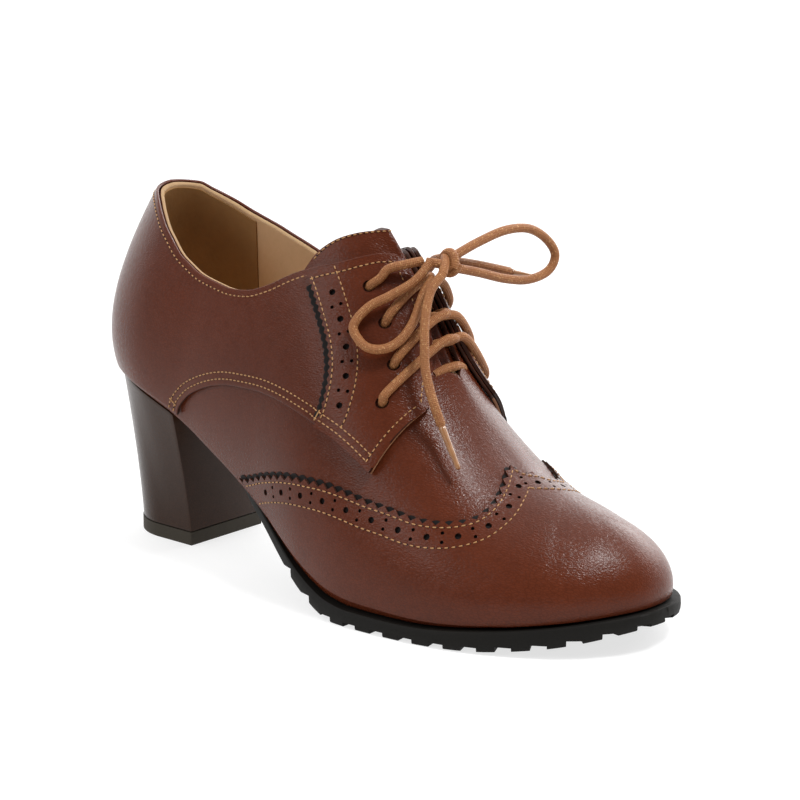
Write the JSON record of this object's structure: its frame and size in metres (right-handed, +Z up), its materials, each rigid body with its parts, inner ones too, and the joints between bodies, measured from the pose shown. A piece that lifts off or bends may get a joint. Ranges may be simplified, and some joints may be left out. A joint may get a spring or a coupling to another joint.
{
  "type": "block heel shoe",
  "caption": "Women's lace-up derby shoe for the right foot with a block heel, pinked wing tip, lugged forefoot sole and tied cord laces.",
  "frame": {"origin": "on the floor under the middle of the shoe's bounding box, laces' bow left out", "axes": "+X toward the toe, +Y toward the inner side of the foot, -Y the outer side, +Z up"},
  "size_m": [0.2284, 0.0964, 0.1251],
  "materials": {
    "leather": "smooth reddish brown leather with a soft sheen",
    "lining": "matt tan lining",
    "rubber": "matt black rubber",
    "heel_cover": "dark brown smooth heel cover",
    "lace_cord": "tan waxed round cord",
    "aglet": "clear film tip"
  },
  "bodies": {
    "root": {"upper": "leather", "quarters": "leather", "eyestay_outer": "leather", "eyestay_inner": "leather", "wing_tip": "leather", "tongue": "leather", "insole": "lining", "outsole": "rubber", "heel": "heel_cover", "heel_top_lift": "rubber", "lace_crossings": "lace_cord", "lace_knot": "lace_cord", "lace_loop_outer": "lace_cord", "lace_loop_inner": "lace_cord", "lace_end_outer": "lace_cord", "lace_end_inner": "lace_cord", "aglet_outer": "aglet", "aglet_inner": "aglet"}
  },
  "joints": []
}
